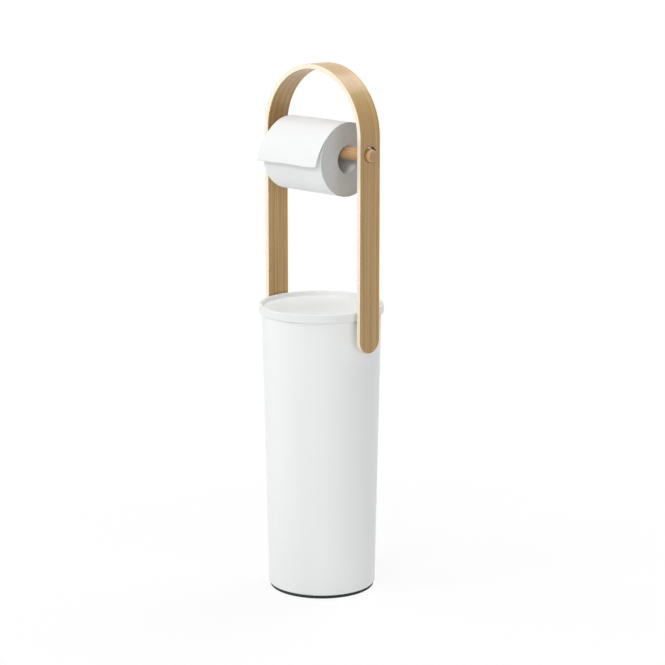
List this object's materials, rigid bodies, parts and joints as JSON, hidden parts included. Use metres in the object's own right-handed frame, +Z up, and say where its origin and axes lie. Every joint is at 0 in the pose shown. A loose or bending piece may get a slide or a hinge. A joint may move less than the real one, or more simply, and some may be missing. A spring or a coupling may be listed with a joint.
{
  "type": "toilet paper stand",
  "caption": "Free-standing toilet paper stand: tapered lidded canister for spare rolls under a bent wood arch that carries a paper roll on a loose dowel.",
  "frame": {"origin": "middle of the non-slip base where it meets the floor", "axes": "+Z up the stand, +X along the dowel, and the paper's loose end hangs on the -Y side"},
  "size_m": [0.18, 0.155, 0.6626],
  "materials": {
    "canister_plastic": "satin white moulded plastic",
    "lid_plastic": "satin white moulded plastic",
    "pad_rubber": "matt black non-slip foam rubber",
    "arch_wood": "clear satin lacquer on straight-grained bent wood",
    "dowel_wood": "clear satin lacquer on straight-grained wood",
    "saddle_plastic": "satin white moulded plastic",
    "screw_steel": "zinc-plated steel",
    "insert_brass": "plain brass",
    "tissue": "soft white tissue",
    "core_board": "uncoated grey board"
  },
  "bodies": {
    "stand": {"canister_body": "canister_plastic", "base_pad": "pad_rubber", "bentwood_arch": "arch_wood", "right_saddle": "saddle_plastic", "left_saddle": "saddle_plastic", "arm_screws": "screw_steel", "screw_washers": "screw_steel", "threaded_inserts": "insert_brass"},
    "lid": {"lid": "lid_plastic"},
    "dowel": {"dowel": "dowel_wood"},
    "roll": {"paper_roll": "tissue", "cardboard_core": "core_board", "paper_tail": "tissue"}
  },
  "joints": [
    {"name": "lid_lift", "type": "slide", "parent": "stand", "child": "lid", "axis": [0, 0, 1], "range_m": [0, 0.1]},
    {"name": "dowel_draw", "type": "slide", "parent": "stand", "child": "dowel", "axis": [1, 0, 0], "range_m": [-0.176, 0.176]},
    {"name": "roll_spin", "type": "hinge", "parent": "stand", "child": "roll", "pos_m": [0, 0, 0.549], "axis": [1, 0, 0], "continuous": true}
  ]
}
